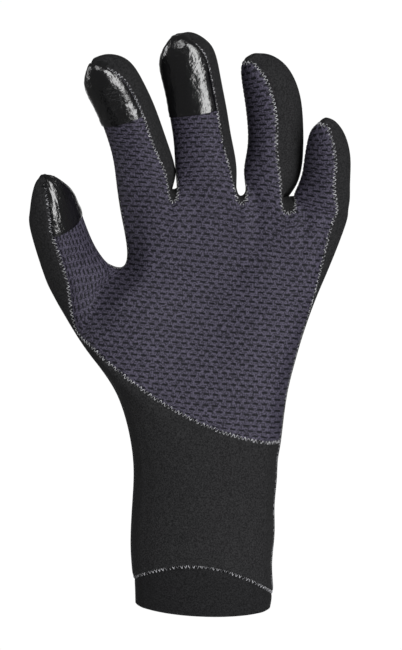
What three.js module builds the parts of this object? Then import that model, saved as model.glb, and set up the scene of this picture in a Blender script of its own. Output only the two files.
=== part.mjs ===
// Left diving glove of 3 mm neoprene, shown open and filled as on a hand: fingers up (+Z), palm towards -Y, thumb at -X.
// The origin is the middle of the wrist opening. The glove is sewn from a palm panel, a back panel that wraps round the
// wrist as the cuff, and a thinner band at the cuff's end. Thumb, index and middle finger have a rubber coat on the pad.
// The outer face is one smooth surface through named sections. Each panel is a part of it, thickened inwards.
import * as THREE from "three";

// Driving sizes, in millimetres.
const PANEL_WALL = 3;
const BAND_WALL = 2;
const BAND_INSET = 0.8;
const SEAM_GAP = 0.34;
const COAT_WALL = 0.5;
const COAT_GAP = 0.3;
const COAT_MARGIN = 0.8;
const CUFF_WIDTH = 68;
const CUFF_DEPTH = 49;
const CUFF_LENGTH = 79;
const PALM_WIDTH = 102;
const PALM_DEPTH = 38;
const HAND_LENGTH = 117;
const THUMB_LENGTH = 70.5;
const THUMB_WIDTH = 30.5;
const THUMB_DEPTH = 25;
const INDEX_LENGTH = 79.5;
const INDEX_WIDTH = 28;
const INDEX_DEPTH = 27;
const MIDDLE_LENGTH = 82;
const MIDDLE_WIDTH = 28;
const MIDDLE_DEPTH = 27;
const RING_LENGTH = 76.5;
const RING_WIDTH = 25;
const RING_DEPTH = 27;
const LITTLE_LENGTH = 51;
const LITTLE_WIDTH = 27;
const LITTLE_DEPTH = 24;

// Sections of the cuff and the palm, from the rim up to the roots of the fingers. Each is a slanting ring through a left
// and a right end point. x is a share of half the width, depth a share of half the depth, and bow how far the ring's
// middle lies above the line between its ends. Heights run from 0 at the rim, through 1 at the top of the cuff on the
// little finger's side, to 2 at the crotch of the middle finger. Seam angles lie forward of each end point.
const SECTIONS = [
  {
    of: "cuff", leftX: -0.965, leftUp: 0.019, rightX: 0.98, rightUp: -0.013, bowFront: -0.025, bowBack: 0,
    front: 0.96, back: 0.96, square: 2.2, seamLeft: 25, seamRight: 6,
  },
  {
    of: "cuff", leftX: -0.98, leftUp: 0.174, rightX: 1.004, rightUp: 0.087, bowFront: 0.145, bowBack: 0.1,
    front: 1.01, back: 1.01, square: 2.2, seamLeft: 25, seamRight: 6,
  },
  {
    of: "cuff", leftX: -1.01, leftUp: 0.38, rightX: 0.985, rightUp: 0.25, bowFront: 0.06, bowBack: 0.04,
    front: 1, back: 1, square: 2.2, seamLeft: 25, seamRight: 6,
  },
  {
    of: "cuff", leftX: -0.98, leftUp: 0.66, rightX: 1.02, rightUp: 0.43, bowFront: 0, bowBack: 0,
    front: 0.98, back: 0.98, square: 2.2, seamLeft: 25, seamRight: 6,
  },
  {
    of: "cuff", leftX: -0.985, leftUp: 0.93, rightX: 1.02, rightUp: 0.6, bowFront: -0.03, bowBack: 0,
    front: 0.96, back: 0.96, square: 2.25, seamLeft: 25, seamRight: 6,
  },
  {
    of: "cuff", leftX: -1.168, leftUp: 1.167, rightX: 1.05, rightUp: 0.755, bowFront: -0.07, bowBack: -0.04,
    front: 0.93, back: 0.92, square: 2.3, seamLeft: 26, seamRight: 6,
  },
  {
    of: "cuff", leftX: -1.5, leftUp: 1.325, rightX: 1.065, rightUp: 0.884, bowFront: -0.12, bowBack: -0.08,
    front: 0.9, back: 0.86, square: 2.4, seamLeft: 28, seamRight: 5,
  },
  {
    of: "palm", leftX: -1.269, leftUp: 1.502, rightX: 0.739, rightUp: 1, bowFront: -0.115, bowBack: -0.08,
    front: 1.12, back: 1.02, square: 2.5, seamLeft: 30, seamRight: 4,
  },
  {
    of: "palm", leftX: -1.124, leftUp: 1.552, rightX: 0.788, rightUp: 1.167, bowFront: -0.1, bowBack: -0.06,
    front: 1.1, back: 1, square: 2.5, seamLeft: 26, seamRight: 4,
  },
  {
    of: "palm", leftX: -1.01, leftUp: 1.607, rightX: 0.862, rightUp: 1.309, bowFront: -0.08, bowBack: -0.045,
    front: 1.06, back: 0.98, square: 2.5, seamLeft: 18, seamRight: 5,
  },
  {
    of: "palm", leftX: -0.882, leftUp: 1.661, rightX: 0.951, rightUp: 1.443, bowFront: -0.06, bowBack: -0.03,
    front: 1.02, back: 0.96, square: 2.5, seamLeft: 8, seamRight: 8,
  },
  {
    of: "palm", leftX: -0.729, leftUp: 1.715, rightX: 1.066, rightUp: 1.581, bowFront: -0.03, bowBack: -0.015,
    front: 0.97, back: 0.93, square: 2.5, seamLeft: -2, seamRight: 16,
  },
  {
    of: "palm", leftX: -0.712, leftUp: 1.82, rightX: 1.19, rightUp: 1.711, bowFront: -0.01, bowBack: 0,
    front: 0.9, back: 0.88, square: 2.5, seamLeft: -4, seamRight: 26,
  },
  {
    of: "palm", leftX: -0.759, leftUp: 1.929, rightX: 1.335, rightUp: 1.879, bowFront: 0, bowBack: 0,
    front: 0.8, back: 0.8, square: 2.4, seamLeft: -4, seamRight: 32,
  },
];
const BAND_TOP = 1;
const SEAM_SECTION = 7;
const THUMB_TOP = 11;
const ROOT_SECTION = SECTIONS.length - 1;

// Crotches between neighbouring fingers: x of both sides as a share of half the palm's width, height as above, and
// how far the web between the fingers rises from there to its middle, as a share of the palm's depth.
const CROTCHES = [
  { leftX: -0.298, rightX: -0.235, up: 1.985, rise: 0.16 },
  { leftX: 0.327, rightX: 0.404, up: 1.983, rise: 0.09 },
  { leftX: 0.749, rightX: 0.85, up: 1.935, rise: 0.2 },
];

// Ball of the thumb, heel of the hand and hollow of the palm: place as above, reach as a share of half the palm's
// width, and rise as a share of its depth.
const MOUNDS = [
  { x: -0.72, up: 1.5, reach: 0.55, rise: 0.11 },
  { x: 0.55, up: 1.3, reach: 0.5, rise: 0.06 },
  { x: 0.05, up: 1.55, reach: 0.55, rise: -0.11 },
];

// Digits from the index to the little finger, then the thumb. lean is to the right, tilt towards the palm at the root,
// curl the bend from root to tip, and twist how far the pad is turned to the right, all in degrees. coatFrom is where the
// coat starts, and taper, round and hook shape the tip, as shares of the length or the depth.
const DIGITS = [
  {
    name: "index", length: INDEX_LENGTH, width: INDEX_WIDTH, depth: INDEX_DEPTH, lean: -10, tilt: 3,
    curl: 42, twist: -30, shift: 0.03, waist: -0.08, coatFrom: 0.56, taper: 0.14, round: 0.23, hook: 0.4,
  },
  {
    name: "middle", length: MIDDLE_LENGTH, width: MIDDLE_WIDTH, depth: MIDDLE_DEPTH, lean: -6, tilt: 3,
    curl: 24, twist: -20, shift: 0.04, waist: -0.1, coatFrom: 0.51, taper: 0.06, round: 0.2, hook: 0.3,
  },
  {
    name: "ring", length: RING_LENGTH, width: RING_WIDTH, depth: RING_DEPTH, lean: 11, tilt: 5,
    curl: 37, twist: -56, shift: 0.03, waist: 0.05, coatFrom: 0.54, taper: 0.06, round: 0.36, hook: 0.5,
  },
  {
    name: "little", length: LITTLE_LENGTH, width: LITTLE_WIDTH, depth: LITTLE_DEPTH, lean: 13, tilt: 14,
    curl: 32, twist: -42, shift: 0.07, waist: -0.08, coatFrom: 0.54, taper: 0.32, round: 0.42, hook: -0.1,
  },
  {
    name: "thumb", length: THUMB_LENGTH, width: THUMB_WIDTH, depth: THUMB_DEPTH, lean: -31, tilt: 20,
    curl: 39, twist: 46, shift: -0.14, waist: -0.09, coatFrom: 0.64, taper: 0.15, round: 0.51, hook: -0.6,
  },
];
const COATED = ["thumb", "index", "middle"];
const THUMB = DIGITS.length - 1;
const FINGERS = THUMB;

// Columns of faces round a digit: across the pad, down each side and across the back.
const PAD_FACES = 4;
const SEAM_ANGLE = 62;
const BACK_ANGLE = 130;
const RING_SHARES = [0.18, 0.36, null, null, 0.88, 0.98];
const SQUARE_DIGIT = 2.25;
const ROOT_RAMP = 0.36;
const WAIST_END = 0.4;
const ROOT_TWIST = 0.3;
const CORNER_DROP = 0.035;
const CAP_REACH = 0.45;
const CAP_SHARE = 0.995;
const CUP_MIDDLE = 0.1;
const CUP_LEFT = 6;
const CUP_RIGHT = 8;
const VALLEY_DEPTH = 0.1;
const VALLEY_ROWS = 1.2;
const EVEN_ROWS = 4;
const ROOT_DIP = 1.2;
const BACK_LINE = 28;
const RELAX_ROUNDS = 4;
const RELAX_SHARE = 0.5;
const AXIS_STEPS = 60;
const FIT_ROUNDS = 12;
const FIT_SHARE = 0.8;

const radians = THREE.MathUtils.degToRad;
const mix = THREE.MathUtils.lerp;
const smooth = THREE.MathUtils.smoothstep;
const heightAt = (up) => Math.min(up, 1) * CUFF_LENGTH + Math.max(up - 1, 0) * HAND_LENGTH;
const acrossPalm = (share) => (share * PALM_WIDTH) / 2;

// A power of sine or cosine that keeps its sign: the corner of a rounded oval.
const oval = (value, square) => Math.sign(value) * Math.abs(value) ** (2 / square);

// The faces and the neighbours round each point, and the middle of each edge.
function surroundings(mesh) {
  const around = mesh.points.map(() => ({ beside: new Map(), across: [], centres: [] }));
  const centres = mesh.quads.map(({ corners }) => {
    const centre = new THREE.Vector3();
    corners.forEach((at) => centre.addScaledVector(mesh.points[at], 1 / 4));
    return centre;
  });
  mesh.quads.forEach(({ corners }, face) => {
    corners.forEach((at, i) => {
      const { beside, across, centres: near } = around[at];
      for (const step of [1, 3]) {
        const other = corners[(i + step) % 4];
        beside.set(other, (beside.get(other) ?? 0) + 1);
      }
      across.push(corners[(i + 2) % 4]);
      near.push(centres[face]);
    });
  });
  return { around, centres };
}

const sumOf = (list) => list.reduce((sum, p) => sum.add(p), new THREE.Vector3());

const points = [];
const quads = [];
const addPoint = (x, y, z) => points.push(new THREE.Vector3(x, y, z)) - 1;
const addQuad = (panel, corners, place = {}) => quads.push({ panel, corners, ...place });

// The ring of one section: end points, half depths and corner shape in millimetres.
function ringOf(section) {
  const cuff = section.of === "cuff";
  const halfWidth = (cuff ? CUFF_WIDTH : PALM_WIDTH) / 2;
  const halfDepth = (cuff ? CUFF_DEPTH : PALM_DEPTH) / 2;
  const rise = cuff ? CUFF_LENGTH : HAND_LENGTH;
  return {
    left: section.leftX * halfWidth,
    right: section.rightX * halfWidth,
    leftZ: heightAt(section.leftUp),
    rightZ: heightAt(section.rightUp),
    front: section.front * halfDepth,
    back: section.back * halfDepth,
    bowFront: section.bowFront * rise,
    bowBack: section.bowBack * rise,
    square: section.square,
    seamLeft: radians(section.seamLeft),
    seamRight: radians(section.seamRight),
  };
}

// How far the palm stands out at a place, over the plain oval.
function moundAt(x, z) {
  return MOUNDS.reduce((sum, mound) => {
    const reach = acrossPalm(mound.reach);
    const far = Math.hypot(x - acrossPalm(mound.x), z - heightAt(mound.up)) / reach;
    return sum + mound.rise * PALM_DEPTH * Math.exp(-far * far);
  }, 0);
}

// A point of a ring at an angle forward of its left (side -1) or right (side 1) end.
function sidePoint(ring, side, angle) {
  const half = (ring.right - ring.left) / 2;
  const x = (ring.left + ring.right) / 2 + side * half * oval(Math.cos(angle), ring.square);
  const depth = angle > 0 ? ring.front : ring.back;
  return { x, y: -depth * oval(Math.sin(angle), ring.square) };
}

// A point on the front (face -1) or the back (face 1) of a ring at a given x.
function facePoint(ring, face, x, valley) {
  const half = (ring.right - ring.left) / 2;
  const share = Math.min(Math.abs(x - (ring.left + ring.right) / 2) / half, 1);
  const depth = face < 0 ? ring.front : ring.back;
  return face * depth * (1 - valley) * (1 - share ** ring.square) ** (1 / ring.square);
}

// The hand is cupped: its two edges lie further forward than its middle, most of all at the little finger's side.
function cupAt(x, z) {
  const share = x / acrossPalm(1) - CUP_MIDDLE;
  const reach = share > 0 ? CUP_RIGHT : CUP_LEFT;
  return -reach * share * share * smooth(z, heightAt(1.2), heightAt(1.9));
}

const bowShape = (share) => Math.sin(Math.PI * THREE.MathUtils.clamp(share, 0, 1)) ** 0.75;

// Faces across the palm: four for each finger and one for each web between two fingers.
const FRONT_FACES = FINGERS * PAD_FACES + (FINGERS - 1);
const firstColumn = (finger) => finger * (PAD_FACES + 1);

// How far column c lies between the two seam lines: even low down, and under the digits' roots near the top.
function columnShare(column, row, ring, leftX, rightX) {
  const even = column / FRONT_FACES;
  const finger = Math.min(Math.floor(column / (PAD_FACES + 1)), FINGERS - 1);
  const from = finger === 0 ? leftX : acrossPalm(CROTCHES[finger - 1].rightX);
  const to = finger === FINGERS - 1 ? rightX : acrossPalm(CROTCHES[finger].leftX);
  const within = (column - firstColumn(finger)) / PAD_FACES;
  const rooted = (mix(from, to, within) - leftX) / (rightX - leftX);
  return mix(even, rooted, smooth(row, ROOT_SECTION - EVEN_ROWS, ROOT_SECTION));
}

// One ring of points: seam line at the left, across the front, right side, across the back and left side.
function layRing(section, row) {
  const ring = ringOf(section);
  const leftSeam = sidePoint(ring, -1, ring.seamLeft);
  const rightSeam = sidePoint(ring, 1, ring.seamRight);
  const width = ring.right - ring.left;
  const rowIsRoot = row === ROOT_SECTION;
  const valleys = smooth(row, ROOT_SECTION - VALLEY_ROWS, ROOT_SECTION);
  const heightOf = (x, bow) => {
    const share = (x - ring.left) / width;
    return mix(ring.leftZ, ring.rightZ, share) + bow * bowShape(share);
  };
  const across = (face, leftX, rightX) => {
    const line = [];
    for (let column = 0; column <= FRONT_FACES; column++) {
      const x = mix(leftX, rightX, columnShare(column, row, ring, leftX, rightX));
      const finger = Math.min(Math.floor(column / (PAD_FACES + 1)), FINGERS - 1);
      const within = (column - firstColumn(finger)) / PAD_FACES;
      const inside = column > 0 && column < FRONT_FACES;
      const valley = inside ? VALLEY_DEPTH * valleys * Math.abs(2 * within - 1) ** 2 : 0;
      const y = inside || face > 0 ? facePoint(ring, face, x, valley) : null;
      let z = heightOf(x, face < 0 ? ring.bowFront : ring.bowBack);
      if (rowIsRoot) {
        const fromZ = finger === 0 ? ring.leftZ : heightAt(CROTCHES[finger - 1].up);
        const toZ = finger === FINGERS - 1 ? ring.rightZ : heightAt(CROTCHES[finger].up);
        z = mix(fromZ, toZ, within) - ROOT_DIP * Math.sin(Math.PI * within);
      }
      const bulge = face < 0 && inside ? moundAt(x, z) * (1 - 0.6 * valleys) : 0;
      line.push({ x, y: (y ?? 0) - bulge, z });
    }
    return line;
  };
  const front = across(-1, leftSeam.x, rightSeam.x);
  front[0].y = leftSeam.y;
  front[FRONT_FACES].y = rightSeam.y;
  const backAngle = radians(BACK_LINE);
  const backLeft = sidePoint(ring, -1, -Math.max(backAngle, backAngle - ring.seamLeft));
  const backRight = sidePoint(ring, 1, -backAngle);
  const back = across(1, backLeft.x, backRight.x);
  back[0].y = backLeft.y;
  back[FRONT_FACES].y = backRight.y;
  const addMiddle = (side, seam, z) => {
    const at = sidePoint(ring, side, (seam - backAngle) / 2);
    return addPoint(at.x, at.y + cupAt(at.x, z), z);
  };
  const insideThumb = row > SEAM_SECTION && row < THUMB_TOP;
  const addCupped = (p) => addPoint(p.x, p.y + cupAt(p.x, p.z), p.z);
  return {
    front: front.map(addCupped),
    back: back.map(addCupped),
    left: insideThumb ? null : addMiddle(-1, ring.seamLeft, ring.leftZ),
    right: addMiddle(1, ring.seamRight, ring.rightZ),
  };
}

const rings = SECTIONS.map(layRing);

// The faces between two rings. The thumb's hole leaves out the left side, and the palm panel starts above the seam.
const sideSeam = [];
for (let row = 0; row < ROOT_SECTION; row++) {
  const [low, high] = [rings[row], rings[row + 1]];
  const band = row < BAND_TOP;
  const body = band ? "wrist_band" : "back_panel";
  const front = row >= SEAM_SECTION ? "palm_panel" : body;
  for (let column = 0; column < FRONT_FACES; column++) {
    addQuad(front, [low.front[column], low.front[column + 1], high.front[column + 1], high.front[column]]);
    addQuad(body, [low.back[column + 1], low.back[column], high.back[column], high.back[column + 1]]);
  }
  const [last, lastHigh] = [low.front[FRONT_FACES], high.front[FRONT_FACES]];
  addQuad(body, [last, low.right, high.right, lastHigh], { besideSeam: !band });
  addQuad(body, [low.right, low.back[FRONT_FACES], high.back[FRONT_FACES], high.right]);
  if (!band && row < SEAM_SECTION) sideSeam.push([last, lastHigh]);
  if (row >= SEAM_SECTION && row < THUMB_TOP) continue;
  addQuad(body, [low.left, low.front[0], high.front[0], high.left]);
  addQuad(body, [low.back[0], low.left, high.left, high.back[0]]);
}

// The root loop of each digit: pad points from left to right, the right side, back points from right to left, the left side.
const roots = [];
const rootRing = rings[ROOT_SECTION];
const middles = CROTCHES.map((crotch) => {
  const z = heightAt(crotch.up) + crotch.rise * PALM_DEPTH;
  return [crotch.leftX, crotch.rightX].map(acrossPalm).map((x) => addPoint(x, cupAt(x, z), z));
});
for (let finger = 0; finger < FINGERS; finger++) {
  const first = firstColumn(finger);
  roots.push({
    pad: rootRing.front.slice(first, first + PAD_FACES + 1),
    right: finger === FINGERS - 1 ? rootRing.right : middles[finger][0],
    back: rootRing.back.slice(first, first + PAD_FACES + 1),
    left: finger === 0 ? rootRing.left : middles[finger - 1][1],
  });
}
for (let web = 0; web < FINGERS - 1; web++) {
  const column = firstColumn(web) + PAD_FACES;
  const [leftMiddle, rightMiddle] = middles[web];
  addQuad("back_panel", [rootRing.front[column], rootRing.front[column + 1], rightMiddle, leftMiddle]);
  addQuad("back_panel", [leftMiddle, rightMiddle, rootRing.back[column + 1], rootRing.back[column]]);
}
const thumbRows = rings.slice(SEAM_SECTION, THUMB_TOP + 1);
roots.push({
  pad: thumbRows.map((ring) => ring.front[0]),
  right: rings[THUMB_TOP].left,
  back: thumbRows.map((ring) => ring.back[0]),
  left: rings[SEAM_SECTION].left,
});

// The middle line of a digit: a place and a frame (up, palm side, right side) at each share of its length.
function axisOf(digit, start) {
  const [lean, tilt, twist] = [digit.lean, digit.tilt, digit.twist].map(radians);
  const up = new THREE.Vector3(Math.sin(lean) * Math.cos(tilt), -Math.sin(tilt), Math.cos(lean) * Math.cos(tilt));
  const flat = new THREE.Vector3(0, -1, 0).addScaledVector(up, up.y).normalize();
  const right = new THREE.Vector3().crossVectors(up, flat);
  const pad = flat.clone().multiplyScalar(Math.cos(twist)).addScaledVector(right, Math.sin(twist));
  const bendAt = (share) => radians(digit.curl) * (0.55 * smooth(share, 0.2, 0.6) + 0.45 * smooth(share, 0.55, 0.92));
  const upAt = (share) => {
    const bend = bendAt(share);
    return up.clone().multiplyScalar(Math.cos(bend)).addScaledVector(pad, Math.sin(bend));
  };
  return (share) => {
    const place = start.clone();
    for (let step = 0; step < AXIS_STEPS; step++) {
      place.addScaledVector(upAt(((step + 0.5) * share) / AXIS_STEPS), (share * digit.length) / AXIS_STEPS);
    }
    const along = upAt(share);
    const padNow = pad.clone().addScaledVector(along, -pad.dot(along)).normalize();
    const rightNow = new THREE.Vector3().crossVectors(along, padNow);
    const unturned = radians(-digit.twist * (1 - ROOT_TWIST) * (1 - smooth(share, 0, ROOT_RAMP)));
    return {
      place,
      up: along,
      pad: padNow.clone().multiplyScalar(Math.cos(unturned)).addScaledVector(rightNow, Math.sin(unturned)),
      right: rightNow.clone().multiplyScalar(Math.cos(unturned)).addScaledVector(padNow, -Math.sin(unturned)),
    };
  };
}

// How full the digit is at a share of its length: a slow taper, then a round tip.
function fullness(digit, share) {
  const past = THREE.MathUtils.clamp((share - (1 - digit.round)) / digit.round, 0, 1);
  const root = 1 - digit.waist * (1 - smooth(share, 0, WAIST_END));
  return root * (1 - digit.taper * share) * (1 - past ** 2.3) ** (1 / 2.3);
}

function digitPoint(digit, frame, share, angle, drop = 0) {
  const full = fullness(digit, share);
  const hook = ((digit.depth / 2) * (1 - digit.taper * share) - (digit.depth / 2) * full) * digit.hook;
  const side = (digit.width / 2) * full * oval(Math.sin(angle), SQUARE_DIGIT);
  const deep = (digit.depth / 2) * full * oval(Math.cos(angle), SQUARE_DIGIT) + hook;
  const p = frame.place.clone().addScaledVector(frame.right, side).addScaledVector(frame.pad, deep);
  p.addScaledVector(frame.up, -drop);
  return addPoint(p.x, p.y, p.z);
}

const spread = (from, to, count) => Array.from({ length: count + 1 }, (_, i) => radians(mix(from, to, i / count)));

function layDigit(digit, root) {
  const start = new THREE.Vector3();
  const rooted = [...root.pad, ...root.back];
  rooted.forEach((i) => start.addScaledVector(points[i], 1 / rooted.length));
  const frameAt = axisOf(digit, start.clone());
  start.addScaledVector(frameAt(0).right, digit.shift * digit.width);
  const axis = axisOf(digit, start);
  const shares = RING_SHARES.slice();
  shares[2] = digit.coatFrom;
  shares[3] = (digit.coatFrom + shares[4]) / 2;
  const sideAngle = (SEAM_ANGLE + BACK_ANGLE) / 2;
  let low = root;
  let first = root;
  shares.forEach((share, row) => {
    const frame = axis(share);
    const last = row === shares.length - 1;
    const drop = (angle) => (last ? CORNER_DROP * digit.length * Math.abs(Math.sin(angle)) ** 6 : 0);
    const at = (angle) => digitPoint(digit, frame, share, angle, drop(angle));
    const high = {
      pad: spread(-SEAM_ANGLE, SEAM_ANGLE, PAD_FACES).map(at),
      right: at(radians(sideAngle)),
      back: spread(-BACK_ANGLE, BACK_ANGLE - 360, PAD_FACES).map(at),
      left: at(radians(-sideAngle)),
    };
    for (let i = 0; i < PAD_FACES; i++) {
      addQuad("palm_panel", [low.pad[i], low.pad[i + 1], high.pad[i + 1], high.pad[i]], { digit: digit.name, row });
      addQuad("back_panel", [low.back[i + 1], low.back[i], high.back[i], high.back[i + 1]], { digit: digit.name, row });
    }
    addQuad("back_panel", [low.pad[PAD_FACES], low.right, high.right, high.pad[PAD_FACES]], { digit: digit.name, row });
    addQuad("back_panel", [low.right, low.back[PAD_FACES], high.back[PAD_FACES], high.right], { digit: digit.name, row });
    addQuad("back_panel", [low.left, low.pad[0], high.pad[0], high.left], { digit: digit.name, row });
    addQuad("back_panel", [low.back[0], low.left, high.left, high.back[0]], { digit: digit.name, row });
    if (row === 0) first = high;
    low = high;
  });
  const [near, tip] = [axis(CAP_SHARE), axis(1)];
  const crown = (side, frame, share) => {
    const lastFull = fullness(digit, shares[shares.length - 1]);
    const hook = (digit.depth / 2) * (1 - digit.taper) * digit.hook * (1 - fullness(digit, share) / lastFull);
    const p = frame.place.clone().addScaledVector(frame.right, (side * CAP_REACH * lastFull * digit.width) / 2);
    p.addScaledVector(frame.pad, hook);
    return addPoint(p.x, p.y, p.z);
  };
  const ridge = [low.left, crown(-1, near, CAP_SHARE), crown(0, tip, 1), crown(1, near, CAP_SHARE), low.right];
  const cap = { digit: digit.name, row: shares.length };
  for (let i = 0; i < PAD_FACES; i++) {
    addQuad("back_panel", [low.pad[i], low.pad[i + 1], ridge[i + 1], ridge[i]], cap);
    addQuad("back_panel", [ridge[i], ridge[i + 1], low.back[i + 1], low.back[i]], cap);
  }
  return [first.left, ...first.pad, first.right, ...first.back];
}
const firstRings = DIGITS.map((digit, i) => layDigit(digit, roots[i]));

// Where the digits grow out of the palm the depth of the points is relaxed, so that the skin runs on without a crease.
const crotchColumns = CROTCHES.flatMap((_, web) => [firstColumn(web) + PAD_FACES, firstColumn(web + 1)]);
const crotchPoints = new Set(crotchColumns.flatMap((column) => [rootRing.front[column], rootRing.back[column]]));
const topRings = [rings[ROOT_SECTION - 1], rootRing];
const relaxed = topRings.flatMap((ring) => [...ring.front, ...ring.back, ring.left, ring.right]);
relaxed.push(...thumbRows.flatMap((ring) => [0, 1].flatMap((column) => [ring.front[column], ring.back[column]])));
relaxed.push(...firstRings.flat());
for (let round = 0; round < RELAX_ROUNDS; round++) {
  const { around } = surroundings({ points, quads });
  const aims = relaxed.filter((at) => !crotchPoints.has(at)).map((at) => {
    const near = [...around[at].beside.keys()];
    return [at, sumOf(near.map((i) => points[i])).y / near.length];
  });
  for (const [at, aim] of aims) points[at].y = mix(points[at].y, aim, RELAX_SHARE);
}

// Where each point comes to lie on the smooth surface that repeated Catmull-Clark subdivision leads to.
function smoothPoints(mesh) {
  const { around } = surroundings(mesh);
  return mesh.points.map((point, at) => {
    const { beside, across } = around[at];
    const rim = [...beside.keys()].filter((other) => beside.get(other) === 1);
    if (rim.length) return sumOf(rim.map((i) => mesh.points[i])).addScaledVector(point, 4).divideScalar(6);
    const n = beside.size;
    const near = sumOf([...beside.keys()].map((i) => mesh.points[i])).multiplyScalar(4);
    const far = sumOf(across.map((i) => mesh.points[i]));
    return near.add(far).addScaledVector(point, n * n).divideScalar(n * (n + 5));
  });
}

const edgeName = (a, b) => `${Math.min(a, b)} ${Math.max(a, b)}`;

// One Catmull-Clark step. The points of the coarse mesh keep their numbers.
function subdivide(mesh) {
  const { around, centres } = surroundings(mesh);
  const finer = mesh.points.map((point, at) => {
    const { beside, centres: near } = around[at];
    const rim = [...beside.keys()].filter((other) => beside.get(other) === 1);
    if (rim.length) return sumOf(rim.map((i) => mesh.points[i])).addScaledVector(point, 6).divideScalar(8);
    const n = beside.size;
    const faces = sumOf(near).divideScalar(n * n);
    const edges = sumOf([...beside.keys()].map((i) => mesh.points[i])).addScaledVector(point, n).divideScalar(n * n);
    return faces.add(edges).addScaledVector(point, (n - 3) / n);
  });
  const facesOf = new Map();
  mesh.quads.forEach(({ corners }, face) => {
    corners.forEach((at, i) => {
      const name = edgeName(at, corners[(i + 1) % 4]);
      facesOf.set(name, [...(facesOf.get(name) ?? []), face]);
    });
  });
  const midpoints = new Map();
  for (const [name, faces] of facesOf) {
    const ends = name.split(" ").map((i) => mesh.points[i]);
    const near = faces.length === 2 ? [...ends, ...faces.map((face) => centres[face])] : ends;
    midpoints.set(name, finer.push(sumOf(near).divideScalar(near.length)) - 1);
  }
  const parts = mesh.quads.map(({ corners }, face) => {
    const centre = finer.push(centres[face]) - 1;
    const mids = corners.map((at, i) => midpoints.get(edgeName(at, corners[(i + 1) % 4])));
    return corners.map((at, i) => [at, mids[i], centre, mids[(i + 3) % 4]]);
  });
  return { points: finer, quads: parts.flat().map((corners) => ({ corners })), parts, midpoints };
}

// Normals of a mesh, from the faces round each point.
function normalsOf(surface, faces) {
  const normals = surface.map(() => new THREE.Vector3());
  for (const { corners } of faces) {
    const [a, b, c, d] = corners.map((at) => surface[at]);
    const normal = new THREE.Vector3().crossVectors(c.clone().sub(a), d.clone().sub(b));
    corners.forEach((at) => normals[at].add(normal));
  }
  return normals.map((normal) => normal.normalize());
}

// The cage is moved until its smooth surface runs through the points that were laid above.
const cage = { points: points.map((p) => p.clone()), quads };
for (let round = 0; round < FIT_ROUNDS; round++) {
  smoothPoints(cage).forEach((at, i) => cage.points[i].addScaledVector(points[i].clone().sub(at), FIT_SHARE));
}
const fine = subdivide(cage);
const surface = smoothPoints(fine);
const normals = normalsOf(surface, fine.quads);
const seamPoints = new Set(sideSeam.flat());
sideSeam.forEach(([a, b]) => seamPoints.add(fine.midpoints.get(edgeName(a, b))));
const openEdges = new Set();
const used = new Map();
quads.forEach(({ corners }) => {
  corners.forEach((at, i) => {
    const name = edgeName(at, corners[(i + 1) % 4]);
    used.set(name, (used.get(name) ?? 0) + 1);
  });
});
for (const [name, count] of used) if (count === 1) openEdges.add(name);

// A cut edge is moved back from the seam line within the surface, so that two panels leave a gap between them.
function pullBack(borders, margin) {
  const inward = new Map();
  for (const { from, to, open } of borders) {
    const along = surface[to.at].clone().sub(surface[from.at]);
    for (const end of [from, to]) {
      const across = new THREE.Vector3().crossVectors(normals[end.at], along).normalize();
      if (!inward.has(end.name)) inward.set(end.name, []);
      if (!open) inward.get(end.name).push(across);
    }
  }
  const moved = new Map();
  for (const [name, list] of inward) {
    if (!list.length) continue;
    const sum = sumOf(list);
    moved.set(name, sum.multiplyScalar((margin * list.length) / Math.max(sum.lengthSq(), 1)));
  }
  return moved;
}

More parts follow.
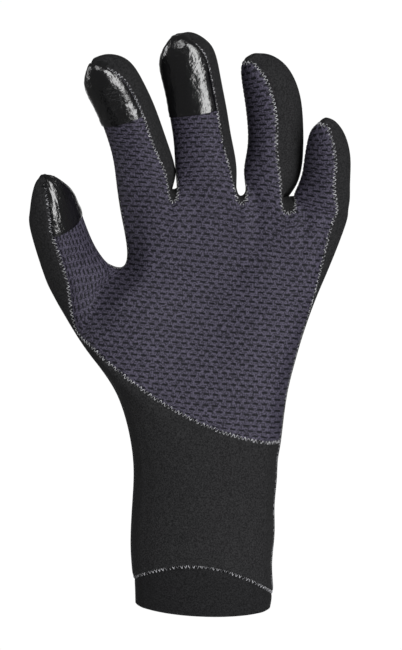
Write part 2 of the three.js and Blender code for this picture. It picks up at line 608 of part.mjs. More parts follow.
// A closed shell: outer faces, the same faces a wall further in, and a wall along each border.
function shell(members, { outside = 0, wall, margin, fineInside = false }) {
  const spots = [];
  const numbers = new Map();
  const nameOf = (member, at) => (member.besideSeam && seamPoints.has(at) ? `${at} beside` : `${at}`);
  const fineQuads = members.flatMap((member) => {
    return fine.parts[quads.indexOf(member)].map((corners) => corners.map((at) => ({ at, name: nameOf(member, at) })));
  });
  const coarseQuads = members.map((member) => member.corners.map((at) => ({ at, name: nameOf(member, at) })));
  const insideQuads = fineInside ? fineQuads : coarseQuads;
  const bordersOf = (list) => {
    const edges = new Map();
    for (const corners of list) {
      corners.forEach((from, i) => {
        const to = corners[(i + 1) % 4];
        edges.set(`${from.name}>${to.name}`, { from, to, open: openEdges.has(edgeName(from.at, to.at)) });
      });
    }
    return [...edges].filter(([, { from, to }]) => !edges.has(`${to.name}>${from.name}`)).map(([, edge]) => edge);
  };
  const coarseBorders = bordersOf(coarseQuads);
  const fineBorders = coarseBorders.flatMap(({ from, to, open }) => {
    const at = fine.midpoints.get(edgeName(from.at, to.at));
    const name = from.name.endsWith("beside") && to.name.endsWith("beside") ? `${at} beside` : `${at}`;
    return [{ from, to: { at, name }, open }, { from: { at, name }, to, open }];
  });
  const moved = pullBack(fineBorders, margin);
  const spot = (side, { at, name }) => {
    const key = `${side} ${name}`;
    if (!numbers.has(key)) {
      const p = surface[at].clone().addScaledVector(normals[at], side === "out" ? outside : outside - wall);
      if (moved.has(name)) p.add(moved.get(name));
      numbers.set(key, spots.push(p) - 1);
    }
    return numbers.get(key);
  };
  const triangles = [];
  const addFace = (corners) => {
    const [a, b, c, d] = corners;
    const [acrossAC, acrossBD] = [spots[a].distanceTo(spots[c]), spots[b].distanceTo(spots[d])];
    triangles.push(...(acrossAC <= acrossBD ? [a, b, c, a, c, d] : [a, b, d, b, c, d]));
  };
  for (const corners of fineQuads) addFace(corners.map((corner) => spot("out", corner)));
  for (const corners of insideQuads) addFace(corners.map((corner) => spot("in", corner)).reverse());
  coarseBorders.forEach(({ from, to }, i) => {
    const [a, b] = [spot("out", from), spot("out", to)];
    const [c, d] = [spot("in", from), spot("in", to)];
    const between = fineBorders[2 * i].to;
    const m = spot("out", between);
    if (fineInside) {
      const n = spot("in", between);
      triangles.push(m, a, c, m, c, n, b, m, n, b, n, d);
    } else {
      triangles.push(m, a, c, m, c, d, m, d, b);
    }
  });
  const geometry = new THREE.BufferGeometry();
  geometry.setAttribute("position", new THREE.Float32BufferAttribute(spots.flatMap((p) => p.toArray()), 3));
  geometry.setIndex(triangles);
  geometry.computeVertexNormals();
  return geometry;
}

const glove = new THREE.Group();
glove.name = "diving_glove";
function addPart(name, geometry, color, roughness) {
  const mesh = new THREE.Mesh(geometry, new THREE.MeshStandardMaterial({ color, roughness }));
  mesh.name = name;
  glove.add(mesh);
}

const membersOf = (panel) => quads.filter((quad) => quad.panel === panel);
const panelCut = { wall: PANEL_WALL, margin: SEAM_GAP / 2 };
const bandCut = { ...panelCut, wall: BAND_WALL, outside: -BAND_INSET };
addPart("wrist_band", shell(membersOf("wrist_band"), bandCut), 0x202022, 0.9);
addPart("back_panel", shell(membersOf("back_panel"), panelCut), 0x29292b, 0.9);
addPart("palm_panel", shell(membersOf("palm_panel"), panelCut), 0x42404d, 0.85);
for (const name of COATED) {
  const pad = membersOf("palm_panel").filter(({ digit, row }) => digit === name && row >= 3);
  const coat = { outside: COAT_GAP + COAT_WALL, wall: COAT_WALL, margin: COAT_MARGIN, fineInside: true };
  addPart(`${name}_coat`, shell(pad, coat), 0x17181a, 0.3);
}

export default glove;
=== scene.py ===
# %% [markdown]
# # A diving glove for the left hand
# The glove is made of 3 mm neoprene: an embossed palm, a smooth back that wraps round the wrist as the cuff, and a
# thinner band at the cuff's end. Thumb, index and middle finger have a glossy rubber coat on the pad.
# It stands open and filled, as on a hand, with the palm towards the camera.

# %% [markdown]
# ## Open the measured glove
# The glove was measured and built as plain solids first. It could be modelled by eye and scaled afterwards, but working
# around the measured glove keeps every panel in its true place from the start.

# %% Load the measured glove and its box
import math

import bpy
import numpy as np
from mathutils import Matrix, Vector
from mathutils.kdtree import KDTree


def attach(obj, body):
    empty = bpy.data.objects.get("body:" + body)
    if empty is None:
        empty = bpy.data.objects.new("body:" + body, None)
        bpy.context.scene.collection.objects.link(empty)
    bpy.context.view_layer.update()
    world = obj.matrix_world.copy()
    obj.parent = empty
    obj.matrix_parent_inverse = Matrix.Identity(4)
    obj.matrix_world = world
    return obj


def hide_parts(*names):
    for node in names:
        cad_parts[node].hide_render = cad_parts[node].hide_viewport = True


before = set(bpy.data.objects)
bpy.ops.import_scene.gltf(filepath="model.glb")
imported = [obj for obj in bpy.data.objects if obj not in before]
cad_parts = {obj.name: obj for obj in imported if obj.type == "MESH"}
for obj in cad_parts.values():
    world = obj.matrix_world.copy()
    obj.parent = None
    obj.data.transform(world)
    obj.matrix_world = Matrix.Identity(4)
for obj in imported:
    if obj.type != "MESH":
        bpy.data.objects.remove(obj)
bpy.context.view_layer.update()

# %% [markdown]
# ## Sizes
# All sizes are in millimetres and go to metres only when a piece is made. A large hand sets the palm's width.
# The fingers are a little shorter than a bare hand's, because they stand slightly curled towards the palm.

# %% Driving sizes
MILLIMETRE = 0.001
PANEL_WALL = 3
BAND_WALL = 2
BAND_INSET = 0.8
SEAM_GAP = 0.34
COAT_WALL = 0.5
COAT_GAP = 0.3
CUFF_WIDTH, CUFF_DEPTH, CUFF_LENGTH = 68, 49, 79
PALM_WIDTH, PALM_DEPTH, HAND_LENGTH = 102, 38, 117
print("cuff in mm:", CUFF_WIDTH, CUFF_DEPTH, CUFF_LENGTH, "palm in mm:", PALM_WIDTH, PALM_DEPTH, HAND_LENGTH)

# %% [markdown]
# ## Rings of the cuff and the palm
# A sewing pattern would be cut flat, but the filled glove is easier to measure as rings, like the bands of a barrel.
# Each ring slants from its thumb end to its outer end. The lowest two belong to the band at the rim.
# Heights run from 0 at the rim, through 1 at the top of the cuff, to 2 at the middle finger's crotch.

# %% Table of rings
SECTION_NAMES = ("left_x", "left_up", "right_x", "right_up", "bow_front", "bow_back", "front", "back", "square",
                 "seam_left", "seam_right")
CUFF_SECTIONS = (
    (-0.965, 0.019, 0.98, -0.013, -0.025, 0, 0.96, 0.96, 2.2, 25, 6),
    (-0.98, 0.174, 1.004, 0.087, 0.145, 0.1, 1.01, 1.01, 2.2, 25, 6),
    (-1.01, 0.38, 0.985, 0.25, 0.06, 0.04, 1, 1, 2.2, 25, 6),
    (-0.98, 0.66, 1.02, 0.43, 0, 0, 0.98, 0.98, 2.2, 25, 6),
    (-0.985, 0.93, 1.02, 0.6, -0.03, 0, 0.96, 0.96, 2.25, 25, 6),
    (-1.168, 1.167, 1.05, 0.755, -0.07, -0.04, 0.93, 0.92, 2.3, 26, 6),
    (-1.5, 1.325, 1.065, 0.884, -0.12, -0.08, 0.9, 0.86, 2.4, 28, 5),
)
PALM_SECTIONS = (
    (-1.269, 1.502, 0.739, 1, -0.115, -0.08, 1.12, 1.02, 2.5, 30, 4),
    (-1.124, 1.552, 0.788, 1.167, -0.1, -0.06, 1.1, 1, 2.5, 26, 4),
    (-1.01, 1.607, 0.862, 1.309, -0.08, -0.045, 1.06, 0.98, 2.5, 18, 5),
    (-0.882, 1.661, 0.951, 1.443, -0.06, -0.03, 1.02, 0.96, 2.5, 8, 8),
    (-0.729, 1.715, 1.066, 1.581, -0.03, -0.015, 0.97, 0.93, 2.5, -2, 16),
    (-0.712, 1.82, 1.19, 1.711, -0.01, 0, 0.9, 0.88, 2.5, -4, 26),
    (-0.759, 1.929, 1.335, 1.879, 0, 0, 0.8, 0.8, 2.4, -4, 32),
)
SECTIONS = [dict(zip(SECTION_NAMES, row), cuff=True) for row in CUFF_SECTIONS]
SECTIONS += [dict(zip(SECTION_NAMES, row), cuff=False) for row in PALM_SECTIONS]
BAND_TOP = 1
SEAM_SECTION = 7
THUMB_TOP = 11
ROOT_SECTION = len(SECTIONS) - 1
print("rings:", len(SECTIONS))

# %% [markdown]
# ## Between the fingers, and the mounds of the palm
# A crotch is where two fingers meet. Each has a left and a right end, because a small flat web lies between them.
# Mounds could be sculpted by hand, but three soft bumps with a place and a reach are easier to change later.

# %% Tables of crotches and mounds
CROTCHES = (
    {"left_x": -0.298, "right_x": -0.235, "up": 1.985, "rise": 0.16},
    {"left_x": 0.327, "right_x": 0.404, "up": 1.983, "rise": 0.09},
    {"left_x": 0.749, "right_x": 0.85, "up": 1.935, "rise": 0.2},
)
# Ball of the thumb, heel of the hand and hollow of the palm: x, height, reach and rise.
MOUNDS = ((-0.72, 1.5, 0.55, 0.11), (0.55, 1.3, 0.5, 0.06), (0.05, 1.55, 0.55, -0.11))
print("crotches:", len(CROTCHES), "mounds:", len(MOUNDS))

# %% [markdown]
# ## Fingers and thumb
# Every digit leans and tilts at its root, curls a little towards the palm, and its pad is turned to one side.
# The index finger's pad looks towards the thumb and the little finger's pad towards the middle of the palm.

# %% Table of digits
DIGIT_NAMES = ("length", "width", "depth", "lean", "tilt", "curl", "twist", "shift", "waist", "coat_from", "taper",
               "round", "hook")
DIGIT_ROWS = {
    "index": (79.5, 28, 27, -10, 3, 42, -30, 0.03, -0.08, 0.56, 0.14, 0.23, 0.4),
    "middle": (82, 28, 27, -6, 3, 24, -20, 0.04, -0.1, 0.51, 0.06, 0.2, 0.3),
    "ring": (76.5, 25, 27, 11, 5, 37, -56, 0.03, 0.05, 0.54, 0.06, 0.36, 0.5),
    "little": (51, 27, 24, 13, 14, 32, -42, 0.07, -0.08, 0.54, 0.32, 0.42, -0.1),
    "thumb": (70.5, 30.5, 25, -31, 20, 39, 46, -0.14, -0.09, 0.64, 0.15, 0.51, -0.6),
}
DIGITS = [dict(zip(DIGIT_NAMES, row), name=name) for name, row in DIGIT_ROWS.items()]
COATED = ("thumb", "index", "middle")
FINGERS = len(DIGITS) - 1
print("digits:", [digit["name"] for digit in DIGITS])

# %% [markdown]
# ## Points on the skin
# The skin is laid as a coarse net of four-sided faces. Each point also remembers where it lies in the embossed
# pattern: how far across and how far up in the flat neoprene sheet.

# %% Small helpers
radians = math.radians


def mix(start, end, share):
    return start + (end - start) * share


def smooth(value, low, high):
    share = min(max((value - low) / (high - low), 0), 1)
    return share * share * (3 - 2 * share)


def height_at(up):
    return min(up, 1) * CUFF_LENGTH + max(up - 1, 0) * HAND_LENGTH


def across_palm(share):
    return share * PALM_WIDTH / 2


def oval(value, square):
    return math.copysign(abs(value) ** (2 / square), value)
print("the middle finger's crotch stands at", height_at(2), "mm")

# %% [markdown]
# ## The net
# Every face of the net is marked with the panel that it belongs to, so the panels can be cut out of one skin later.
# Separate nets for the panels would be simpler to lay, but their edges would never fit each other so well.

# %% Start the net
PAD_FACES = 4
FRONT_FACES = FINGERS * PAD_FACES + (FINGERS - 1)
ROW_SLOPE = 0.1
BAND, BACK, PALM, CUFF_FRONT, BESIDE, PAD_TIP = range(6)
points, pattern, faces, zones, digit_marks, digit_rows = [], [], [], [], [], []


def first_column(finger):
    return finger * (PAD_FACES + 1)


def add_point(x, y, z, across=None, along=None):
    points.append((x, y, z))
    pattern.append((x if across is None else across, z + ROW_SLOPE * x if along is None else along))
    return len(points) - 1


def add_face(zone, corners, digit=-1, row=-1):
    faces.append(corners)
    zones.append(zone)
    digit_marks.append(digit)
    digit_rows.append(row)


print("faces across the front:", FRONT_FACES)

# %% [markdown]
# ## The shape of a ring
# The wrist is nearly an oval and the palm nearly a box with round sides. A rounded square with a free power covers
# both. The palm's edges bend forwards, as on a relaxed hand, which is what the cup does.

# %% One ring of the cuff or the palm
CUP_MIDDLE = 0.1
CUP_LEFT, CUP_RIGHT = 6, 8
CUP_FROM, CUP_TO = 1.2, 1.9


def ring_of(section):
    half_width = (CUFF_WIDTH if section["cuff"] else PALM_WIDTH) / 2
    half_depth = (CUFF_DEPTH if section["cuff"] else PALM_DEPTH) / 2
    rise = CUFF_LENGTH if section["cuff"] else HAND_LENGTH
    return {
        "left": section["left_x"] * half_width, "right": section["right_x"] * half_width,
        "left_z": height_at(section["left_up"]), "right_z": height_at(section["right_up"]),
        "front": section["front"] * half_depth, "back": section["back"] * half_depth,
        "bow_front": section["bow_front"] * rise, "bow_back": section["bow_back"] * rise,
        "square": section["square"],
        "seam_left": radians(section["seam_left"]), "seam_right": radians(section["seam_right"]),
    }


def mound_at(x, z):
    total = 0
    for mound_x, up, reach, rise in MOUNDS:
        far = math.hypot(x - across_palm(mound_x), z - height_at(up)) / across_palm(reach)
        total += rise * PALM_DEPTH * math.exp(-far * far)
    return total


def side_point(ring, side, angle):
    half = (ring["right"] - ring["left"]) / 2
    x = (ring["left"] + ring["right"]) / 2 + side * half * oval(math.cos(angle), ring["square"])
    depth = ring["front"] if angle > 0 else ring["back"]
    return x, -depth * oval(math.sin(angle), ring["square"])


def face_depth(ring, face, x, valley):
    half = (ring["right"] - ring["left"]) / 2
    share = min(abs(x - (ring["left"] + ring["right"]) / 2) / half, 1)
    depth = ring["front"] if face < 0 else ring["back"]
    return face * depth * (1 - valley) * (1 - share ** ring["square"]) ** (1 / ring["square"])


def cup_at(x, z):
    share = x / across_palm(1) - CUP_MIDDLE
    reach = CUP_RIGHT if share > 0 else CUP_LEFT
    return -reach * share * share * smooth(z, height_at(CUP_FROM), height_at(CUP_TO))


def add_cupped(x, y, z):
    return add_point(x, y + cup_at(x, z), z)


print("cup at the outer edge in mm:", round(cup_at(across_palm(1), height_at(CUP_TO)), 1))

# %% [markdown]
# ## The two lines of a ring
# A ring is laid as one line of points over the palm and one over the back. Towards the fingers the points gather
# under the finger roots, with small valleys between them, so the fingers grow out of the palm without a step.

# %% Lay one line of a ring
VALLEY_DEPTH, VALLEY_ROWS = 0.1, 1.2
VALLEY_MOUND = 0.6
EVEN_ROWS = 4
ROOT_DIP = 1.2
BOW_POWER = 0.75


def finger_at(column):
    finger = min(column // (PAD_FACES + 1), FINGERS - 1)
    return finger, (column - first_column(finger)) / PAD_FACES


def column_share(column, row, from_x, to_x):
    finger, within = finger_at(column)
    low = from_x if finger == 0 else across_palm(CROTCHES[finger - 1]["right_x"])
    high = to_x if finger == FINGERS - 1 else across_palm(CROTCHES[finger]["left_x"])
    rooted = (mix(low, high, within) - from_x) / (to_x - from_x)
    return mix(column / FRONT_FACES, rooted, smooth(row, ROOT_SECTION - EVEN_ROWS, ROOT_SECTION))


def lay_line(ring, row, face, start, end):
    valleys = smooth(row, ROOT_SECTION - VALLEY_ROWS, ROOT_SECTION)
    line = []
    for column in range(FRONT_FACES + 1):
        x = mix(start[0], end[0], column_share(column, row, start[0], end[0]))
        finger, within = finger_at(column)
        inside = 0 < column < FRONT_FACES
        y = face_depth(ring, face, x, VALLEY_DEPTH * valleys * abs(2 * within - 1) ** 2 if inside else 0)
        share = (x - ring["left"]) / (ring["right"] - ring["left"])
        bow = ring["bow_front"] if face < 0 else ring["bow_back"]
        z = mix(ring["left_z"], ring["right_z"], share)
        z += bow * math.sin(math.pi * min(max(share, 0), 1)) ** BOW_POWER
        if row == ROOT_SECTION:
            from_z = ring["left_z"] if finger == 0 else height_at(CROTCHES[finger - 1]["up"])
            to_z = ring["right_z"] if finger == FINGERS - 1 else height_at(CROTCHES[finger]["up"])
            z = mix(from_z, to_z, within) - ROOT_DIP * math.sin(math.pi * within)
        if face < 0 and inside:
            y -= mound_at(x, z) * (1 - VALLEY_MOUND * valleys)
        line.append([x, y, z])
    line[0][1], line[-1][1] = start[1], end[1]
    return [add_cupped(*place) for place in line]


print("points in one line:", FRONT_FACES + 1)

# %% [markdown]
# ## All rings
# The seams set where the front line ends. Where the thumb grows out, the ring has no point of its own at the left.

# %% Lay the rings
BACK_LINE = 28


def lay_ring(row):
    ring = ring_of(SECTIONS[row])
    back_angle = radians(BACK_LINE)
    left_seam = side_point(ring, -1, ring["seam_left"])
    right_seam = side_point(ring, 1, ring["seam_right"])
    back_left = side_point(ring, -1, -max(back_angle, back_angle - ring["seam_left"]))
    back_right = side_point(ring, 1, -back_angle)
    laid = {
        "front": lay_line(ring, row, -1, left_seam, right_seam),
        "back": lay_line(ring, row, 1, back_left, back_right),
        "left": None,
    }
    if not SEAM_SECTION < row < THUMB_TOP:
        x, y = side_point(ring, -1, (ring["seam_left"] - back_angle) / 2)
        laid["left"] = add_cupped(x, y, ring["left_z"])
    x, y = side_point(ring, 1, (ring["seam_right"] - back_angle) / 2)
    laid["right"] = add_cupped(x, y, ring["right_z"])
    return laid


rings = [lay_ring(row) for row in range(len(SECTIONS))]
print("points on the cuff and the palm:", len(points))

# %% [markdown]
# ## Faces of the cuff, the back and the palm
# The palm starts at the diagonal seam from the thumb's root to the outer wrist. A hole is left for the thumb.

# %% Lay the faces between the rings
for row in range(ROOT_SECTION):
    low, high = rings[row], rings[row + 1]
    body = BAND if row < BAND_TOP else BACK
    front = PALM if row >= SEAM_SECTION else BAND if row < BAND_TOP else CUFF_FRONT
    lf, hf, lb, hb = low["front"], high["front"], low["back"], high["back"]
    for column in range(FRONT_FACES):
        add_face(front, (lf[column], lf[column + 1], hf[column + 1], hf[column]))
        add_face(body, (lb[column + 1], lb[column], hb[column], hb[column + 1]))
    add_face(BAND if row < BAND_TOP else BESIDE, (lf[-1], low["right"], high["right"], hf[-1]))
    add_face(body, (low["right"], lb[-1], hb[-1], high["right"]))
    if not SEAM_SECTION <= row < THUMB_TOP:
        add_face(body, (low["left"], lf[0], hf[0], high["left"]))
        add_face(body, (lb[0], low["left"], high["left"], hb[0]))
print("faces so far:", len(faces))

# %% [markdown]
# ## Webs and roots
# A small web of black neoprene closes the glove between two fingers. The edge that is left open for each digit is its
# root: a loop of points with a pad side, a back side, a left and a right point.

# %% Lay the webs between the fingers, and find the root loop of each digit
root_ring = rings[ROOT_SECTION]
webs = []
for crotch in CROTCHES:
    web_z = height_at(crotch["up"]) + crotch["rise"] * PALM_DEPTH
    web_x = [across_palm(crotch[side]) for side in ("left_x", "right_x")]
    webs.append([add_point(x, cup_at(x, web_z), web_z) for x in web_x])
roots = []
for finger in range(FINGERS):
    here = slice(first_column(finger), first_column(finger) + PAD_FACES + 1)
    roots.append({
        "pad": root_ring["front"][here], "back": root_ring["back"][here],
        "right": root_ring["right"] if finger == FINGERS - 1 else webs[finger][0],
        "left": root_ring["left"] if finger == 0 else webs[finger - 1][1],
    })
for web, (left_web, right_web) in enumerate(webs):
    column = first_column(web) + PAD_FACES
    add_face(BACK, (root_ring["front"][column], root_ring["front"][column + 1], right_web, left_web))
    add_face(BACK, (left_web, right_web, root_ring["back"][column + 1], root_ring["back"][column]))
thumb_rings = rings[SEAM_SECTION:THUMB_TOP + 1]
roots.append({
    "pad": [ring["front"][0] for ring in thumb_rings], "back": [ring["back"][0] for ring in thumb_rings],
    "right": rings[THUMB_TOP]["left"], "left": rings[SEAM_SECTION]["left"],
})
print("webs:", len(webs), "roots:", len(roots))

# %% [markdown]
# ## Grow the digits
# A digit is a row of rounded ovals along a bent middle line, closed by a short ridge at the tip.
# The embossed rows run across the fingers. On the thumb they run along it, because its panel is the palm's edge.

# %% Middle line of a digit
AXIS_STEPS = 60
ROOT_RAMP, ROOT_TWIST = 0.36, 0.3
# Each knuckle's part of the curl, and where along the digit it begins and ends.
KNUCKLES = ((0.55, 0.2, 0.6), (0.45, 0.55, 0.92))


def axis_of(digit, start):
    lean, tilt, twist = (radians(digit[name]) for name in ("lean", "tilt", "twist"))
    up = np.array([math.sin(lean) * math.cos(tilt), -math.sin(tilt), math.cos(lean) * math.cos(tilt)])
    flat = np.array([0, -1, 0]) + up * up[1]
    flat /= np.linalg.norm(flat)
    pad = flat * math.cos(twist) + np.cross(up, flat) * math.sin(twist)

    def up_at(share):
        bend = radians(digit["curl"]) * sum(part * smooth(share, low, high) for part, low, high in KNUCKLES)
        return up * math.cos(bend) + pad * math.sin(bend)

    def frame_at(share):
        place = start.copy()
        for step in range(AXIS_STEPS):
            place += up_at((step + 0.5) * share / AXIS_STEPS) * (share * digit["length"] / AXIS_STEPS)
        along = up_at(share)
        pad_now = pad - along * pad.dot(along)
        pad_now /= np.linalg.norm(pad_now)
        right_now = np.cross(along, pad_now)
        unturned = radians(-digit["twist"] * (1 - ROOT_TWIST) * (1 - smooth(share, 0, ROOT_RAMP)))
        return {
            "place": place, "up": along,
            "pad": pad_now * math.cos(unturned) + right_now * math.sin(unturned),
            "right": right_now * math.cos(unturned) - pad_now * math.sin(unturned),
        }

    return frame_at


print("knuckles in each digit:", len(KNUCKLES))

# %% [markdown]
# ## The skin of a digit
# A finger of a filled glove is a rounded square, a little slimmer at the root and tapering towards the tip. One oval
# of points lies where the rubber coat starts, so that the coat gets a clean lower edge.

# %% Place and lay one oval
SEAM_ANGLE, BACK_ANGLE = 62, 130
SQUARE_DIGIT, TIP_SQUARE = 2.25, 2.3
WAIST_END = 0.4
CORNER_DROP, CORNER_SHARPNESS = 0.035, 6


def fullness(digit, share):
    past = min(max((share - (1 - digit["round"])) / digit["round"], 0), 1)
    root = 1 - digit["waist"] * (1 - smooth(share, 0, WAIST_END))
    return root * (1 - digit["taper"] * share) * (1 - past ** TIP_SQUARE) ** (1 / TIP_SQUARE)


def digit_place(digit, frame_now, share, angle, drop):
    full = fullness(digit, share)
    half_depth = digit["depth"] / 2
    hook = half_depth * (1 - digit["taper"] * share - full) * digit["hook"]
    side = digit["width"] / 2 * full * oval(math.sin(angle), SQUARE_DIGIT)
    deep = half_depth * full * oval(math.cos(angle), SQUARE_DIGIT) + hook
    return frame_now["place"] + frame_now["right"] * side + frame_now["pad"] * deep - frame_now["up"] * drop


def lay_oval(digit, root, frame_now, share, last):
    reach = share * digit["length"]

    def lay(degrees, column):
        angle = radians(degrees)
        drop = CORNER_DROP * digit["length"] * abs(math.sin(angle)) ** CORNER_SHARPNESS if last else 0
        across, along = pattern[root["pad"][column]]
        if digit["name"] == "thumb":
            across -= reach
        else:
            along += reach
        return add_point(*digit_place(digit, frame_now, share, angle, drop), across, along)

    def spread(start_angle, end_angle):
        return [lay(mix(start_angle, end_angle, step / PAD_FACES), step) for step in range(PAD_FACES + 1)]

    side_angle = (SEAM_ANGLE + BACK_ANGLE) / 2
    return {
        "pad": spread(-SEAM_ANGLE, SEAM_ANGLE), "right": lay(side_angle, PAD_FACES),
        "back": spread(-BACK_ANGLE, BACK_ANGLE - 360), "left": lay(-side_angle, 0),
    }


print("points in one oval:", 2 * (PAD_FACES + 1) + 2)

# %% [markdown]
# ## Faces of a digit
# Neighbouring ovals are joined all round. The pad faces belong to the palm's panel, all others to the back. A short
# ridge closes the tip, because a single point there would pinch the smooth skin.

# %% Join the ovals and close the tip
CAP_REACH, CAP_SHARE = 0.45, 0.995


def join_ovals(low, high, number, row):
    for i in range(PAD_FACES):
        add_face(PALM, (low["pad"][i], low["pad"][i + 1], high["pad"][i + 1], high["pad"][i]), number, row)
        add_face(BACK, (low["back"][i + 1], low["back"][i], high["back"][i], high["back"][i + 1]), number, row)
    add_face(BACK, (low["pad"][-1], low["right"], high["right"], high["pad"][-1]), number, row)
    add_face(BACK, (low["right"], low["back"][-1], high["back"][-1], high["right"]), number, row)
    add_face(BACK, (low["left"], low["pad"][0], high["pad"][0], high["left"]), number, row)
    add_face(BACK, (low["back"][0], low["left"], high["left"], high["back"][0]), number, row)


def close_tip(digit, number, axis, shares, low):
    last_full = fullness(digit, shares[-1])

    def crown(side, share):
        frame_now = axis(share)
        hook = digit["depth"] / 2 * (1 - digit["taper"]) * digit["hook"] * (1 - fullness(digit, share) / last_full)
        place = frame_now["place"] + frame_now["right"] * (side * CAP_REACH * last_full * digit["width"] / 2)
        return add_point(*(place + frame_now["pad"] * hook))

    ridge = [low["left"], crown(-1, CAP_SHARE), crown(0, 1), crown(1, CAP_SHARE), low["right"]]
    for i in range(PAD_FACES):
        add_face(PAD_TIP, (low["pad"][i], low["pad"][i + 1], ridge[i + 1], ridge[i]), number, len(shares))
        add_face(BACK, (ridge[i], ridge[i + 1], low["back"][i + 1], low["back"][i]), number, len(shares))


print("faces between two ovals:", 2 * PAD_FACES + 4)

# %% [markdown]
# ## Grow all digits
# A digit starts at the middle of its root loop, moved a little sideways, and its ovals stand at set shares of its
# length. The last one lies just under the tip.

# %% Grow the fingers and the thumb
RING_SHARES = (0.18, 0.36, None, None, 0.88, 0.98)


def lay_digit(number):
    digit, root = DIGITS[number], roots[number]
    start = np.mean([points[at] for at in root["pad"] + root["back"]], axis=0)
    start = start + axis_of(digit, start)(0)["right"] * (digit["shift"] * digit["width"])
    axis = axis_of(digit, start)
    shares = list(RING_SHARES)
    shares[2] = digit["coat_from"]
    shares[3] = (digit["coat_from"] + shares[4]) / 2
    ovals = [root]
    for row, share in enumerate(shares):
        ovals.append(lay_oval(digit, root, axis(share), share, row == len(shares) - 1))
        join_ovals(ovals[-2], ovals[-1], number, row)
    close_tip(digit, number, axis, shares, ovals[-1])
    first = ovals[1]
    return [first["left"], *first["pad"], first["right"], *first["back"]]


first_rings = [lay_digit(number) for number in range(len(DIGITS))]
print("points:", len(points), "faces:", len(faces))

# %% [markdown]
# ## From the coarse net to a smooth skin
# The net is split again and again until it is a smooth surface, as a wooden model is sanded round. First the net is
# moved until the smooth surface runs through the measured points, because plain rounding would shrink the glove.

# %% Edges and neighbours of a net
def edges_of(net, count):
    ends = np.stack([net, np.roll(net, -1, axis=1)], axis=2).reshape(-1, 2)
    ends.sort(axis=1)
    keys, places, uses = np.unique(ends[:, 0] * count + ends[:, 1], return_inverse=True, return_counts=True)
    return np.stack([keys // count, keys % count], axis=1), places.reshape(-1, 4), uses


def gather(count, at, values):
    total = np.zeros((count, values.shape[1]))
    np.add.at(total, at, values)
    return total


def surroundings(place, net):
    count = len(place)
    edges, sides, uses = edges_of(net, count)
    near = gather(count, edges[:, 0], place[edges[:, 1]]) + gather(count, edges[:, 1], place[edges[:, 0]])
    open_edges = edges[uses == 1]
    rim = gather(count, open_edges[:, 0], place[open_edges[:, 1]])
    rim += gather(count, open_edges[:, 1], place[open_edges[:, 0]])
    on_rim = np.zeros((count, 1), bool)
    on_rim[open_edges.ravel()] = True
    beside = np.bincount(edges.ravel(), minlength=count).astype(float)[:, None]
    return {"edges": edges, "sides": sides, "uses": uses, "near": near, "rim": rim, "on_rim": on_rim, "beside": beside}


print("edges of the coarse net:", len(edges_of(np.array(faces), len(points))[0]))

# %% [markdown]
# ## Split the faces
# Each face becomes four, and all points move to a weighted mean of their surroundings. A subdivision modifier does the
# same, but here the marks of the panels and the place in the embossed pattern have to come along.

# %% Split a net, and find where its points end up
def limit_places(place, net):
    around = surroundings(place, net)
    beside = around["beside"]
    far = gather(len(place), net.ravel(), place[np.roll(net, 2, axis=1)].reshape(-1, 3))
    inner = (around["near"] * 4 + far + place * beside ** 2) / (beside * (beside + 5))
    return np.where(around["on_rim"], (place * 4 + around["rim"]) / 6, inner)


def split(place, net, flat):
    around = surroundings(place, net)
    edges, sides, beside = around["edges"], around["sides"], around["beside"]
    middle = place[net].mean(axis=1)
    centres = gather(len(place), net.ravel(), np.repeat(middle, 4, axis=0))
    inner = centres / beside ** 2 + (around["near"] + place * beside) / beside ** 2 + place * (beside - 3) / beside
    moved = np.where(around["on_rim"], (place * 6 + around["rim"]) / 8, inner)
    halfway = place[edges].mean(axis=1)
    across = gather(len(edges), sides.ravel(), np.repeat(middle, 4, axis=0))
    halfway = np.where((around["uses"] == 2)[:, None], (halfway * 2 + across) / 4, halfway)
    flat = np.concatenate([flat, flat[edges].mean(axis=1), flat[net].mean(axis=1)])
    corner = net.T
    half = sides.T + len(place)
    centre = np.arange(len(net)) + len(place) + len(edges)
    quarters = ((corner[0], half[0], centre, half[3]), (half[0], corner[1], half[1], centre),
                (centre, half[1], corner[2], half[2]), (half[3], centre, half[2], corner[3]))
    finer = np.stack([np.stack(quarter, axis=1) for quarter in quarters], axis=1).reshape(-1, 4)
    return np.concatenate([moved, halfway, middle]), finer, flat


def normals_of(place, net):
    a, b, c, d = (place[net[:, i]] for i in range(4))
    total = gather(len(place), net.ravel(), np.repeat(np.cross(c - a, d - b), 4, axis=0))
    return total / np.linalg.norm(total, axis=1)[:, None]


print("faces after one split:", 4 * len(faces))

# %% [markdown]
# ## Relax the roots
# Where a digit grows out of the palm, the laid points are uneven in depth. They are drawn a little towards their
# neighbours, as if the neoprene were tugged straight. The points of the crotches stay where the photo shows them.

# %% Relax the roots of the digits
RELAX_ROUNDS, RELAX_SHARE = 4, 0.5
place = np.array(points, float)
flat = np.array(pattern, float)
net = np.array(faces)
crotch_columns = [first_column(web) + step for web in range(FINGERS - 1) for step in (PAD_FACES, PAD_FACES + 1)]
held = {root_ring[side][column] for side in ("front", "back") for column in crotch_columns}
relaxed = set()
for ring in (rings[ROOT_SECTION - 1], root_ring):
    relaxed.update([*ring["front"], *ring["back"], ring["left"], ring["right"]])
for ring in thumb_rings:
    relaxed.update([*ring["front"][:2], *ring["back"][:2]])
for ring in first_rings:
    relaxed.update(ring)
relaxed = np.array(sorted(relaxed - held))
for _ in range(RELAX_ROUNDS):
    around = surroundings(place, net)
    place[relaxed, 1] = mix(place[relaxed, 1], (around["near"] / around["beside"])[relaxed, 1], RELAX_SHARE)
print("relaxed points:", len(relaxed))

# %% [markdown]
# ## Fit the net and make the skin
# Each round measures how far the smooth skin lies from the measured points, and moves the net by most of that. Then
# three splits give the fine skin, of which every face still knows its panel and digit.

